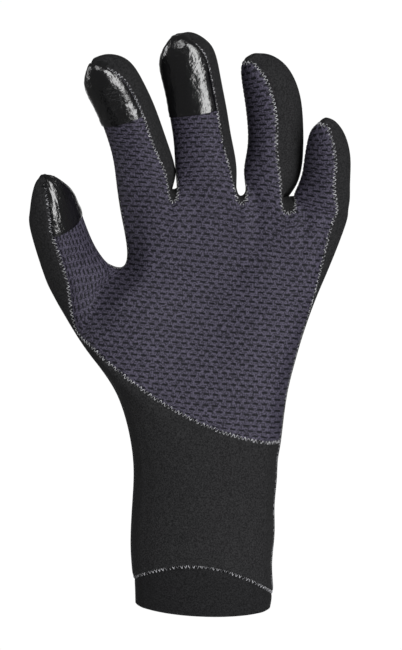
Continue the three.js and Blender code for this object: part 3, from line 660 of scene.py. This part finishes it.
# %% Fit, then split three times
FIT_ROUNDS, FIT_SHARE = 12, 0.8
LEVELS = 3
cage = place.copy()
for _ in range(FIT_ROUNDS):
    cage += (place - limit_places(cage, net)) * FIT_SHARE
for _ in range(LEVELS):
    cage, net, flat = split(cage, net, flat)
zone_of, digit_of, row_of = (np.repeat(np.array(marks), 4 ** LEVELS) for marks in (zones, digit_marks, digit_rows))
skin = limit_places(cage, net)
normal = normals_of(skin, net)
total = len(skin)
miss = float(np.abs(skin[:len(place)] - place).max())
print("fine faces:", len(net), "largest miss of the fit in mm:", round(miss, 3))

# %% [markdown]
# ## Seams
# The panels are glued edge to edge and then stitched, so the skin dips into a shallow ditch along every seam.
# There is one seam all round the palm and its finger pads, one at the outer side of the cuff, and the hem of the band.

# %% Find the seam lines
DITCH_DEPTH, DITCH_REACH = 0.42, 1.25
edges, sides, uses = edges_of(net, total)
low_zone = np.full(len(edges), PAD_TIP)
high_zone = np.full(len(edges), BAND)
np.minimum.at(low_zone, sides.ravel(), np.repeat(zone_of, 4))
np.maximum.at(high_zone, sides.ravel(), np.repeat(zone_of, 4))
palm_seam = edges[(low_zone != high_zone) & ((low_zone == PALM) | (high_zone == PALM))]
hem_seam = edges[(low_zone == BAND) & (high_zone != BAND) & (uses == 2)]
side_seam = edges[(low_zone == CUFF_FRONT) & (high_zone == BESIDE)]


def distance_to(goal, places):
    tree = KDTree(len(goal))
    for number, at in enumerate(goal):
        tree.insert(skin[at], number)
    tree.balance()
    return np.array([tree.find(spot)[2] for spot in places])


seam_points = np.unique(np.concatenate([palm_seam, hem_seam, side_seam]).ravel())
dip = -DITCH_DEPTH * np.exp(-(distance_to(seam_points, skin) / DITCH_REACH) ** 2)
print("seam edges:", len(palm_seam), len(hem_seam), len(side_seam))

# %% [markdown]
# ## Cut a panel out of the skin
# A panel is a closed slab: its outer face, the same face a wall further in, and the cut edge between them.
# The cut edge stays a hair back from the seam line, so two panels never touch.

# %% Borders and cut edges
rim_point = np.zeros(total, bool)
rim_point[edges[uses == 1].ravel()] = True
side_points = np.unique(side_seam.ravel())


def borders_of(corners):
    start, end = corners.ravel(), np.roll(corners, -1, axis=1).ravel()
    alone = ~np.isin(start * (2 * total) + end, end * (2 * total) + start)
    return start[alone], end[alone]


def pull_back(base, out, rim, start, end, margin):
    shut = ~(rim[start] & rim[end])
    pull, count = np.zeros_like(base), np.zeros(len(base))
    along = base[end] - base[start]
    for at in (start, end):
        across = np.cross(out[at], along)
        across /= np.linalg.norm(across, axis=1)[:, None]
        np.add.at(pull, at[shut], across[shut])
        np.add.at(count, at[shut], 1)
    return pull * (margin * count / np.maximum((pull ** 2).sum(axis=1), 1))[:, None]


print("points on the cuff's rim:", int(rim_point.sum()))

# %% [markdown]
# ## Fine points for the embossing
# A notch of the embossing is finer than the skin's faces. All faces could be split again, but that would cost four
# times the faces each time. Only the lines that run up the glove get more points, and each takes its own depth.

# %% Add points on the lines that run up
def add_steps(local, top, sheet, out, relief, steps, first):
    pairs = np.unique(np.concatenate([local[:, [0, 3]], local[:, [1, 2]]]), axis=0)
    shares = (np.arange(1, steps) / steps)[None, :, None]

    def shared(values):
        return values[pairs[:, 0]][:, None] * (1 - shares) + values[pairs[:, 1]][:, None] * shares

    extra, extra_sheet = shared(top).reshape(-1, 3), shared(sheet).reshape(-1, 2)
    extra = extra + shared(out).reshape(-1, 3) * relief(extra_sheet)[:, None]
    begins = first + np.arange(len(pairs)) * (steps - 1)
    lines = zip(pairs.tolist(), begins.tolist())
    between = {tuple(pair): list(range(begin, begin + steps - 1)) for pair, begin in lines}
    return extra, extra_sheet, between


def slab_faces(local, between, border, back):
    def path(a, b):
        if (a, b) in between:
            return [a, *between[a, b], b]
        if (b, a) in between:
            return [a, *reversed(between[b, a]), b]
        return [a, b]

    outer = []
    for a, b, c, d in local.tolist():
        left, right = path(a, d), path(b, c)
        bottom, ceiling = path(a, b)[1:-1], path(c, d)[1:-1]
        for step in range(len(left) - 1):
            outer.append([left[step], *(bottom if step == 0 else []), right[step], right[step + 1],
                          *(ceiling if step == len(left) - 2 else []), left[step + 1]])
    inner = (local[:, ::-1] + back).tolist()
    cut = [[*path(b, a), a + back, b + back] for a, b in border]
    return outer, inner + cut


print("skin points that the panels share:", total)

# %% [markdown]
# ## Make a piece
# Faces that meet at less than the sharp angle are shaded as one smooth face, so only the cut edges look sharp. Every
# piece rides on the glove's one body.

# %% Turn faces of the skin into a closed piece
PANEL_SHARP = 55


def new_piece(name, spots, polygons, sharp_angle):
    mesh = bpy.data.meshes.new(name)
    mesh.from_pydata((spots * MILLIMETRE).tolist(), [], polygons)
    mesh.update()
    mesh.polygons.foreach_set("use_smooth", np.ones(len(mesh.polygons), bool))
    mesh.set_sharp_from_angle(angle=radians(sharp_angle))
    obj = bpy.data.objects.new(name, mesh)
    bpy.context.collection.objects.link(obj)
    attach(obj, "root")
    return obj


def lay_pattern(mesh, sheet):
    corner_points = np.zeros(len(mesh.loops), int)
    mesh.loops.foreach_get("vertex_index", corner_points)
    mesh.uv_layers.new(name="pattern").data.foreach_set("uv", sheet[corner_points].ravel())


def make_piece(name, members, outside, wall, margin, relief=None, steps=1):
    corners = net[members].copy()
    apart = np.isin(corners, side_points) & (zone_of[members] == BESIDE)[:, None]
    corners[apart] += total
    base, out, sheet, shift = (np.concatenate([values, values]) for values in (skin, normal, flat, outside))
    wall = np.concatenate([np.broadcast_to(wall, total)] * 2)
    start, end = borders_of(corners)
    pull = pull_back(base, out, np.concatenate([rim_point, rim_point]), start, end, margin)
    used, local = np.unique(corners, return_inverse=True)
    local = local.reshape(-1, 4)
    top = (base + out * shift[:, None] + pull)[used]
    inside = (base + out * (shift - wall)[:, None] + pull)[used]
    out, sheet = out[used], sheet[used]
    extra, extra_sheet, between = np.zeros((0, 3)), np.zeros((0, 2)), {}
    if steps > 1:
        extra, extra_sheet, between = add_steps(local, top, sheet, out, relief, steps, 2 * len(used))
    if relief:
        top = top + out * relief(sheet)[:, None]
    border = np.searchsorted(used, np.stack([start, end], axis=1)).tolist()
    outer, hidden = slab_faces(local, between, border, len(used))
    obj = new_piece(name, np.concatenate([top, inside, extra]), outer + hidden, PANEL_SHARP)
    lay_pattern(obj.data, np.concatenate([sheet, sheet, extra_sheet]))
    triangles = sum(len(polygon) - 2 for polygon in outer + hidden)
    print(f"{name}: {len(outer)} outer faces, {triangles} triangles")
    return obj


# %% [markdown]
# ## Finishes
# Each finish is built from small procedural steps. The neoprene is matt and slightly speckled, because light catches
# the loops of its knitted cover. The rubber coat is the only glossy surface.

# %% A new finish
def new_finish(name, roughness, gloss):
    material = bpy.data.materials.new(name)
    material.use_nodes = True
    surface = material.node_tree.nodes["Principled BSDF"]
    surface.inputs["Roughness"].default_value = roughness
    surface.inputs["Specular IOR Level"].default_value = gloss
    return material, material.node_tree.nodes, material.node_tree.links, surface


def add_node(nodes, kind, **values):
    node = nodes.new(kind)
    for name, value in values.items():
        if name in node.inputs:
            node.inputs[name].default_value = value
        else:
            setattr(node, name, value)
    return node


def add_noise(nodes, links, scale, detail):
    coordinates = add_node(nodes, "ShaderNodeTexCoord")
    noise = add_node(nodes, "ShaderNodeTexNoise", Scale=scale, Detail=detail)
    links.new(coordinates.outputs["Object"], noise.inputs["Vector"])
    return noise


def add_ramp(nodes, links, source, stops):
    ramp = nodes.new("ShaderNodeValToRGB")
    ramp.color_ramp.elements[0].position, ramp.color_ramp.elements[0].color = stops[0]
    ramp.color_ramp.elements[1].position, ramp.color_ramp.elements[1].color = stops[-1]
    for position, color in stops[1:-1]:
        ramp.color_ramp.elements.new(position).color = color
    links.new(source, ramp.inputs["Fac"])
    return ramp


def add_bump(nodes, links, source, strength, distance, after=None):
    bump = add_node(nodes, "ShaderNodeBump", Strength=strength, Distance=distance)
    links.new(source, bump.inputs["Height"])
    if after:
        links.new(after.outputs["Normal"], bump.inputs["Normal"])
    return bump


print("helpers for the finishes are ready")

# %% [markdown]
# ## Smooth jersey
# The back, the cuff and the band are covered with fine knitted jersey. A woven pattern would be too regular for it: at
# this distance the loops are only a fine speckle, which one noise gives in colour and bump, with a trace of sheen.

# %% Smooth jersey of the back, the cuff and the band
JERSEY_ROUGHNESS, JERSEY_GLOSS = 0.85, 0.1
LOOP_SCALE, LOOP_DETAIL = 1500, 2
LOOP_DARK, LOOP_LIGHT = 0.35, 0.68
LOOP_BUMP, LOOP_HEIGHT = 0.35, 0.0003
JERSEY_SHEEN, SHEEN_ROUGHNESS = 0.015, 0.5


def jersey(name, dark, light):
    material, nodes, links, surface = new_finish(name, JERSEY_ROUGHNESS, JERSEY_GLOSS)
    loops = add_noise(nodes, links, LOOP_SCALE, LOOP_DETAIL).outputs["Fac"]
    shade = add_ramp(nodes, links, loops, [(LOOP_DARK, (*dark, 1)), (LOOP_LIGHT, (*light, 1))])
    links.new(shade.outputs["Color"], surface.inputs["Base Color"])
    links.new(add_bump(nodes, links, loops, LOOP_BUMP, LOOP_HEIGHT).outputs["Normal"], surface.inputs["Normal"])
    surface.inputs["Sheen Weight"].default_value = JERSEY_SHEEN
    surface.inputs["Sheen Roughness"].default_value = SHEEN_ROUGHNESS
    print("finish:", name)
    return material


BACK_DARK, BACK_LIGHT = (0.007, 0.007, 0.0075), (0.023, 0.023, 0.024)
BAND_DARK, BAND_LIGHT = (0.005, 0.005, 0.0055), (0.016, 0.016, 0.017)
back_jersey = jersey("smooth jersey", BACK_DARK, BACK_LIGHT)
band_jersey = jersey("band jersey", BAND_DARK, BAND_LIGHT)

# %% [markdown]
# ## Back and cuff
# One big piece covers the back of the hand, the sides of the fingers and the whole wrist.

# %% Cut the back
def faces_in(*panels):
    return np.flatnonzero(np.isin(zone_of, panels))


back = make_piece("back_and_cuff", faces_in(BACK, CUFF_FRONT, BESIDE, PAD_TIP), dip, PANEL_WALL, SEAM_GAP / 2)
back.data.materials.append(back_jersey)
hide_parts("back_panel")

# %% [markdown]
# ## Band at the rim
# The band is thinner neoprene, sewn in a little lower than the cuff, and it hugs the wrist.

# %% Cut the band
band = make_piece("cuff_band", faces_in(BAND), dip - BAND_INSET, BAND_WALL, SEAM_GAP / 2)
band.data.materials.append(band_jersey)
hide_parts("wrist_band")

# %% [markdown]
# ## Depth of the embossing
# A heated roller presses small bricks into the palm's neoprene for grip. What shows is a short dark notch between two
# rows, half a brick further along in every second row, and a very shallow groove along the rows.
# Bump alone would look the same from the front, but pressed points keep the notches at the outline and in the mesh.

# %% Measure out the bricks
BRICK_LENGTH, BRICK_HEIGHT = 4.2, 2.5
NOTCH_EDGE, NOTCH_SOFT, NOTCH_DEPTH = 0.72, 0.4, 0.3
GROOVE_REACH, GROOVE_DEPTH = 0.55, 0.1


def soft_step(value):
    share = np.clip(value, 0, 1)
    return share * share * (3 - 2 * share)


def brick_relief(at):
    across, along = at[:, 0], at[:, 1] + BRICK_HEIGHT / 2
    row = np.floor(along / BRICK_HEIGHT)
    over = along - row * BRICK_HEIGHT
    beside = np.mod(across + np.where(row % 2 == 0, BRICK_LENGTH / 2, 0), BRICK_LENGTH)
    from_row_end = np.minimum(over, BRICK_HEIGHT - over)
    from_brick_end = np.minimum(beside, BRICK_LENGTH - beside)
    notch = soft_step((np.minimum(from_row_end, from_brick_end) - NOTCH_EDGE) / NOTCH_SOFT)
    groove = 1 - soft_step((BRICK_HEIGHT / 2 - from_row_end) / GROOVE_REACH)
    return -NOTCH_DEPTH * notch - GROOVE_DEPTH * groove


print("bricks across the palm:", int(PALM_WIDTH / BRICK_LENGTH))

# %% [markdown]
# ## Finish of the palm
# The raised bricks are a speckled dark violet grey. The notches are painted nearly black as painted shade: a brick
# texture with bricks of the same size as the pressed ones paints shade into each notch where it is pressed.

# %% Colour the bricks and paint shade into the notches
BRICK_UNIT = 1 / (2 * BRICK_LENGTH)
# Painted shade: this nearly black colour stands in for the shade inside the pressed notches.
PAINTED_NOTCH_SHADE = (0.003, 0.003, 0.006, 1)
DARK_GRAIN, LIGHT_GRAIN = (0.009, 0.008, 0.014, 1), (0.066, 0.059, 0.090, 1)
PALM_ROUGHNESS, PALM_GLOSS = 0.75, 0.25
GRAIN_SCALE, GRAIN_DETAIL = 1450, 3
GRAIN_DARK, GRAIN_LIGHT = 0.38, 0.62
GRAIN_BUMP, GRAIN_HEIGHT = 0.5, 0.0003
NOTCH_SHADE_REACH, NOTCH_SHADE_BLUR = 0.86, 0.2


def embossed():
    material, nodes, links, surface = new_finish("embossed neoprene", PALM_ROUGHNESS, PALM_GLOSS)
    place_in_sheet = add_node(nodes, "ShaderNodeUVMap", uv_map="pattern")
    raised = add_node(nodes, "ShaderNodeVectorMath", operation="ADD")
    raised.inputs[1].default_value = (0, BRICK_HEIGHT / 2, 0)
    links.new(place_in_sheet.outputs["UV"], raised.inputs[0])
    # A brick texture marks where the notches lie, so that painted shade darkens them.
    notch_shade_mask = add_node(nodes, "ShaderNodeTexBrick", offset=0.5, Scale=BRICK_UNIT, **{
        "Mortar Size": NOTCH_SHADE_REACH * BRICK_UNIT, "Mortar Smooth": NOTCH_SHADE_BLUR, "Brick Width": 0.5,
        "Row Height": BRICK_HEIGHT * BRICK_UNIT})
    links.new(raised.outputs["Vector"], notch_shade_mask.inputs["Vector"])
    grain = add_noise(nodes, links, GRAIN_SCALE, GRAIN_DETAIL).outputs["Fac"]
    tone = add_ramp(nodes, links, grain, [(GRAIN_DARK, DARK_GRAIN), (GRAIN_LIGHT, LIGHT_GRAIN)])
    shaded = add_node(nodes, "ShaderNodeMix", data_type="RGBA")
    links.new(notch_shade_mask.outputs["Fac"], shaded.inputs[0])
    shaded.inputs[6].default_value = PAINTED_NOTCH_SHADE
    links.new(tone.outputs["Color"], shaded.inputs[7])
    links.new(shaded.outputs[2], surface.inputs["Base Color"])
    links.new(add_bump(nodes, links, grain, GRAIN_BUMP, GRAIN_HEIGHT).outputs["Normal"], surface.inputs["Normal"])
    print("finish:", material.name)
    return material


# %% [markdown]
# ## Embossed palm
# The palm is cut from the skin like the other panels, but its outer points are pressed in by the depth of the bricks.
# Five steps on each line that runs up are enough to show every notch.

# %% Press and cut the palm
STEPS_UP = 5
palm = make_piece("embossed_palm", faces_in(PALM), dip, PANEL_WALL, SEAM_GAP / 2, brick_relief, STEPS_UP)
palm.data.materials.append(embossed())
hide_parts("palm_panel")

# %% [markdown]
# ## Glossy rubber
# The rubber is nearly black and very smooth, so it shows by its reflections. Wide noise buckles them gently, and fine
# noise breaks up their edges, as the small wrinkles of the real coat do.

# %% Mix the rubber
RUBBER_ROUGHNESS, RUBBER_GLOSS, RUBBER_IOR = 0.2, 0.5, 1.85
RUBBER_COLOUR = (0.002, 0.002, 0.0024, 1)
FOLD_SCALE, FOLD_DETAIL, FOLD_HEIGHT = 210, 2, 0.001
CREASE_SCALE, CREASE_DETAIL, CREASE_HEIGHT = 800, 3, 0.0004
RUBBER_BUMP = 0.5


def glossy_rubber():
    material, nodes, links, surface = new_finish("glossy rubber", RUBBER_ROUGHNESS, RUBBER_GLOSS)
    surface.inputs["Base Color"].default_value = RUBBER_COLOUR
    surface.inputs["IOR"].default_value = RUBBER_IOR
    wide = add_noise(nodes, links, FOLD_SCALE, FOLD_DETAIL)
    fine = add_noise(nodes, links, CREASE_SCALE, CREASE_DETAIL)
    folds = add_bump(nodes, links, wide.outputs["Fac"], RUBBER_BUMP, FOLD_HEIGHT)
    creases = add_bump(nodes, links, fine.outputs["Fac"], RUBBER_BUMP, CREASE_HEIGHT, folds)
    links.new(creases.outputs["Normal"], surface.inputs["Normal"])
    print("finish:", material.name)
    return material


# %% [markdown]
# ## Rubber coats
# The pads of thumb, index and middle finger were dipped or painted with liquid rubber. It is a thin skin with fine
# wrinkles where it shrank, and it fills the bricks, so only its lower edge shows as a small step.
# The coat thins out towards its edge, as a liquid that ran does.

# %% Lay the coats on the pads
FIRST_COATED_ROW = 3
WRINKLE, CROSS_WRINKLE = 0.07, 0.6
EDGE_WALL, EDGE_REACH = 0.16, 1.1


def wrinkle_relief(at):
    across, along = at[:, 0], at[:, 1]
    waves = np.sin(along * 1.7 + 1.4 * np.sin(across * 0.5))
    return WRINKLE * (waves + CROSS_WRINKLE * np.sin(along * 3.1 + across * 0.9))


def coated_faces(number):
    pad = np.flatnonzero(np.isin(zone_of, [PALM, PAD_TIP]) & (digit_of == number) & (row_of >= FIRST_COATED_ROW))
    border, _ = borders_of(net[pad])
    return pad[~np.isin(net[pad], border).any(axis=1)]


rubber = glossy_rubber()
for name in COATED:
    pad = coated_faces(list(DIGIT_ROWS).index(name))
    coated = np.unique(net[pad])
    from_edge = distance_to(np.unique(borders_of(net[pad])[0]), skin[coated])
    thickness = np.full(total, float(COAT_WALL))
    thickness[coated] = mix(EDGE_WALL, COAT_WALL, 1 - np.exp(-from_edge / EDGE_REACH))
    coat = make_piece(f"{name}_rubber", pad, COAT_GAP + thickness, thickness, 0, wrinkle_relief)
    coat.data.materials.append(rubber)
    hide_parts(f"{name}_coat")

# %% [markdown]
# ## Lines for the thread
# The thread follows the seams. Their edges come in no order, so they are first chained into lines, and then points
# are marked along each line at an even pitch, as a tailor marks a seam with chalk.

# %% Chain the seam edges and mark the pitch
LOOK_AHEAD = 0.5


def chains_of(seam):
    beside = {}
    for a, b in seam.tolist():
        beside.setdefault(a, []).append(b)
        beside.setdefault(b, []).append(a)
    left = set(beside)
    chains = []
    while left:
        start = min(left, key=lambda at: (len(beside[at]) == 2, at))
        chain = [start]
        left.discard(start)
        while True:
            onward = [at for at in beside[chain[-1]] if at in left]
            if not onward:
                break
            chain.append(onward[0])
            left.discard(onward[0])
        if len(chain) > 2 and chain[0] in beside[chain[-1]]:
            chain.append(chain[0])
        chains.append(chain)
    return chains


def along_chain(chain, pitch):
    spots, outs = skin[chain], normal[chain]
    steps = np.linalg.norm(np.diff(spots, axis=0), axis=1)
    reached = np.concatenate([[0], np.cumsum(steps)])
    count = max(int(reached[-1] / pitch), 1)
    aims = (np.arange(count) + 0.5) * reached[-1] / count

    def at(values, where):
        return np.stack([np.interp(where, reached, values[:, axis]) for axis in range(3)], axis=1)

    ahead = at(spots, np.minimum(aims + LOOK_AHEAD, reached[-1])) - at(spots, np.maximum(aims - LOOK_AHEAD, 0))
    ahead /= np.linalg.norm(ahead, axis=1)[:, None]
    out = at(outs, aims)
    out /= np.linalg.norm(out, axis=1)[:, None]
    return at(spots, aims), ahead, out


print("lines in the seam round the palm:", len(chains_of(palm_seam)))

# %% [markdown]
# ## Seam thread
# A machine closes the seams with a light grey zigzag that hardly pierces the neoprene. Every stitch is a short piece
# of thread that dives into the skin at both ends. Each stitch crosses the seam, one to the left and one to the right.
# Painted stitches would be quicker, but they would lie flat, and these catch the light.

# %% Make the stitches
STITCH_PITCH, STITCH_HALF, THREAD_RADIUS = 1.9, 1.0, 0.2
STITCH_POINTS, THREAD_SIDES = 5, 6
STITCH_CORNERS = STITCH_POINTS * THREAD_SIDES
STITCH_DIVE = 0.34
THREAD_SHARP = 65


def stitch_corners(chain, lean, depth):
    spot, ahead, out = along_chain(chain, STITCH_PITCH)
    line = np.cross(out, ahead) * STITCH_HALF + ahead * (lean * STITCH_PITCH / 4)
    beside = np.cross(out, line / np.linalg.norm(line, axis=1)[:, None])[:, None]
    centre = spot + ahead * (lean * STITCH_PITCH / 4)
    angles = (np.arange(THREAD_SIDES) * (2 * math.pi / THREAD_SIDES))[None, :, None]
    rings = []
    for step in range(STITCH_POINTS):
        turn = mix(-1, 1, step / (STITCH_POINTS - 1))
        middle = centre + line * turn + out * (depth - STITCH_DIVE * turn * turn)
        rings.append(middle[:, None] + THREAD_RADIUS * (beside * np.cos(angles) + out[:, None] * np.sin(angles)))
    return np.stack(rings, axis=1).reshape(-1, STITCH_CORNERS, 3)


def stitch_faces(first):
    around = range(THREAD_SIDES)
    sides = []
    for ring in range(first, first + STITCH_CORNERS - THREAD_SIDES, THREAD_SIDES):
        for i in around:
            a, b = ring + i, ring + (i + 1) % THREAD_SIDES
            sides.append((a, b, b + THREAD_SIDES, a + THREAD_SIDES))
    last = first + STITCH_CORNERS - THREAD_SIDES
    return [*sides, tuple(first + i for i in reversed(around)), tuple(last + i for i in around)]


def thread_piece(name, seam, depth):
    stitches = np.concatenate([stitch_corners(chain, lean, depth) for chain in chains_of(seam) for lean in (-1, 1)])
    polygons = [face for stitch in range(len(stitches)) for face in stitch_faces(stitch * STITCH_CORNERS)]
    obj = new_piece(name, stitches.reshape(-1, 3), polygons, THREAD_SHARP)
    print(f"{name}: {len(stitches)} stitches")
    return obj


# %% [markdown]
# ## Sew the seams
# The thread is spun from dark and light fibres. It lies a little deeper on the hem, where the band is set in.

# %% Spin the yarn and sew
THREAD_ROUGHNESS, THREAD_GLOSS = 0.6, 0.3
FIBRE_SCALE, FIBRE_DETAIL = 700, 3
DARK_FIBRE, LIGHT_FIBRE = (0.4, (0.02, 0.02, 0.022, 1)), (0.66, (0.42, 0.42, 0.44, 1))
THREAD_DEPTH, HEM_DEPTH = -0.18, -0.5


def yarn():
    material, nodes, links, surface = new_finish("grey thread", THREAD_ROUGHNESS, THREAD_GLOSS)
    fibres = add_noise(nodes, links, FIBRE_SCALE, FIBRE_DETAIL)
    shade = add_ramp(nodes, links, fibres.outputs["Fac"], [DARK_FIBRE, LIGHT_FIBRE])
    links.new(shade.outputs["Color"], surface.inputs["Base Color"])
    return material


grey_thread = yarn()
for name, seam, depth in (("palm_thread", palm_seam, THREAD_DEPTH), ("cuff_side_thread", side_seam, THREAD_DEPTH),
                          ("hem_thread", hem_seam, HEM_DEPTH)):
    thread_piece(name, seam, depth).data.materials.append(grey_thread)

# %% [markdown]
# ## Table
# The glove hangs over a small pale table. A wide floor would cut off the white backdrop under the cuff, so the table
# ends before it comes into the camera's view.

# %% Set up the table
FLOOR_HEIGHT, FLOOR_RADIUS = -0.055, 0.14
FLOOR_SIDES = 96
TABLE_COLOUR = (0.82, 0.82, 0.83, 1)
TABLE_ROUGHNESS, TABLE_GLOSS = 0.8, 0.2
bpy.ops.mesh.primitive_circle_add(
    vertices=FLOOR_SIDES, radius=FLOOR_RADIUS, fill_type="NGON", location=(0, 0, FLOOR_HEIGHT))
floor = bpy.context.object
floor.name = "pale_table"
pale, _, _, pale_surface = new_finish("pale table", TABLE_ROUGHNESS, TABLE_GLOSS)
pale_surface.inputs["Base Color"].default_value = TABLE_COLOUR
floor.data.materials.append(pale)
print("table:", floor.name)

# %% [markdown]
# ## Backdrop
# A white wall behind the glove would also light its back and sides. The world is white only straight behind the glove
# and dim everywhere else, so the black sides of the fingers stay black.

# %% Light the backdrop
BACKDROP_EDGE = {"From Min": 0.86, "From Max": 0.93}
BACKDROP_LIGHT = {"To Min": 0.1, "To Max": 1.02}
world = bpy.data.worlds.new("studio")
bpy.context.scene.world = world
world.use_nodes = True
nodes, links = world.node_tree.nodes, world.node_tree.links
direction = add_node(nodes, "ShaderNodeTexCoord")
parts = add_node(nodes, "ShaderNodeSeparateXYZ")
bright = add_node(nodes, "ShaderNodeMapRange", **BACKDROP_EDGE, **BACKDROP_LIGHT)
links.new(direction.outputs["Generated"], parts.inputs["Vector"])
links.new(parts.outputs["Y"], bright.inputs["Value"])
links.new(bright.outputs["Result"], nodes["Background"].inputs["Strength"])
nodes["Background"].inputs["Color"].default_value = (1, 1, 1, 1)
print("backdrop:", world.name)

# %% [markdown]
# ## Lights
# One large soft light stands at the right in front, a weaker one at the left above, and a narrow one beyond the thumb
# for the thin bright line on its rubber. Small hard lamps would leave small spots on the rubber.

# %% Set up the lights
LIGHTS = (
    {"name": "soft key", "place": (0.46, -0.8, 0.17), "size": (0.5, 1.5), "watts": 16.0},
    {"name": "soft fill", "place": (-0.42, -0.8, 0.75), "size": (0.35, 0.35), "watts": 1.6},
    {"name": "edge strip", "place": (-0.75, 0.05, 0.3), "size": (0.12, 0.7), "watts": 2.0},
)
AIM = Vector((0, 0, 0.15))
for light in LIGHTS:
    data = bpy.data.lights.new(light["name"], "AREA")
    data.shape = "RECTANGLE"
    data.size, data.size_y = light["size"]
    data.energy = light["watts"]
    lamp = bpy.data.objects.new(light["name"], data)
    lamp.location = light["place"]
    lamp.rotation_euler = (AIM - Vector(light["place"])).to_track_quat("-Z", "Y").to_euler()
    bpy.context.collection.objects.link(lamp)
print("lights:", [light["name"] for light in LIGHTS])

# %% [markdown]
# ## Camera
# The photo looks straight at the palm, from the middle of the glove's height. A long lens from 0.8 m keeps the
# fingers that stand forwards from looking too large.

# %% Set up the camera
LENS, SENSOR = 92.3, 36
CAMERA_PLACE = (-0.00048, -0.8, 0.1344)
camera_data = bpy.data.cameras.new("photo camera")
camera_data.lens = LENS
camera_data.sensor_width = SENSOR
camera = bpy.data.objects.new("photo camera", camera_data)
camera.location = CAMERA_PLACE
camera.rotation_euler = (radians(90), 0, 0)
bpy.context.collection.objects.link(camera)
bpy.context.scene.camera = camera
bpy.context.scene.view_settings.view_transform = "Standard"
print("camera:", camera.name, "lens:", LENS)
